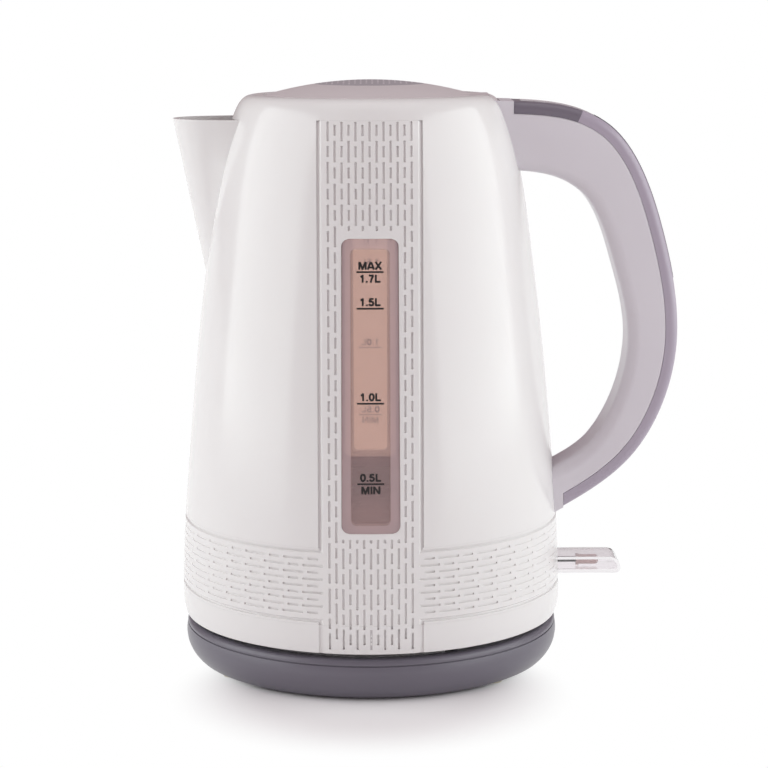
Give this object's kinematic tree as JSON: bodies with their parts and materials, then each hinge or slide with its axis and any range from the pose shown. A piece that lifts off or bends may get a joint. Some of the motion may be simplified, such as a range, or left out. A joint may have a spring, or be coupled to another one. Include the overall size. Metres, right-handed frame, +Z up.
{
  "type": "electric kettle",
  "caption": "Cordless electric kettle: tapered jug with pouring spout, hinged lid, C-shaped handle, switch lever and water windows, on a round swivel power base.",
  "frame": {"origin": "on the jug's axis, at the table plane under the rubber feet of the power base", "axes": "+Z up, +X towards the handle, -X towards the spout, the front water window faces -Y"},
  "size_m": [0.2058, 0.1572, 0.2393],
  "materials": {
    "base_grey": "satin dark grey",
    "black_plastic": "satin black",
    "contact_brass": "bare",
    "foot_rubber": "matte",
    "screw_steel": "zinc plated",
    "white_plastic": "gloss white",
    "window_tint": "tinted clear",
    "trim_grey": "satin grey",
    "pad_grey": "soft grey",
    "lid_grey": "satin light grey",
    "inset_grey": "textured grey",
    "silicone": "translucent grey",
    "plate_steel": "brushed",
    "spreader_aluminium": "bare",
    "bimetal": "bare",
    "net_grey": "fine net",
    "pin_steel": "bare",
    "button_white": "gloss white",
    "clear_plastic": "clear",
    "lamp_red": "red lens"
  },
  "bodies": {
    "base": {"base_lower_shell": "base_grey", "base_upper_shell": "base_grey", "base_connector": "black_plastic", "base_contact_ring": "contact_brass", "base_earth_pin": "contact_brass", "base_feet": "foot_rubber", "base_screws": "screw_steel"},
    "connector": {"kettle_connector": "black_plastic", "kettle_contact_ring": "contact_brass"},
    "kettle": {"body_shell": "white_plastic", "front_window": "window_tint", "rear_window": "window_tint", "handle_frame": "white_plastic", "handle_cover": "trim_grey", "grip_pad": "pad_grey", "handle_screws": "screw_steel", "floor_ring": "white_plastic", "plate_seal": "silicone", "heating_plate": "plate_steel", "heat_spreader": "spreader_aluminium", "heating_element": "spreader_aluminium", "control_housing": "black_plastic", "control_screws": "screw_steel", "steam_bimetal": "bimetal", "steam_tube": "white_plastic", "bottom_cover": "white_plastic", "bottom_screws": "screw_steel", "filter_frame": "white_plastic", "filter_net": "net_grey", "lid_hinge_pin": "pin_steel", "lever_pin": "pin_steel", "catch_spring": "pin_steel"},
    "lid": {"lid_cover": "lid_grey", "lid_inset": "inset_grey", "lid_cup": "white_plastic", "lid_seal": "silicone"},
    "button": {"lid_release_button": "button_white"},
    "catch": {"catch_slider": "button_white"},
    "lever": {"switch_lever": "clear_plastic", "indicator_lamp": "lamp_red"}
  },
  "joints": [
    {"name": "kettle_lift", "type": "slide", "parent": "base", "child": "connector", "axis": [0, 0, 1], "range_m": [0, 0.08]},
    {"name": "kettle_swivel", "type": "hinge", "parent": "connector", "child": "kettle", "pos_m": [0, 0, 0.037], "axis": [0, 0, 1], "continuous": true},
    {"name": "lid_hinge", "type": "hinge", "parent": "kettle", "child": "lid", "pos_m": [0.0485, 0, 0.2299], "axis": [0, 1, 0], "range_deg": [0, 80]},
    {"name": "button_press", "type": "slide", "parent": "kettle", "child": "button", "axis": [0, 0, -1], "range_m": [0, 0.002], "stiffness_N_per_m": 600, "springref_m": -0.001},
    {"name": "catch_slide", "type": "slide", "parent": "kettle", "child": "catch", "axis": [1, 0, 0], "range_m": [0, 0.002], "deforming": ["catch_spring"]},
    {"name": "lever_hinge", "type": "hinge", "parent": "kettle", "child": "lever", "pos_m": [0.06, 0, 0.038], "axis": [0, 1, 0], "range_deg": [0, 10]}
  ],
  "couplings": [
    {"joint": "catch_slide", "follows": "button_press", "ratio": 1}
  ]
}
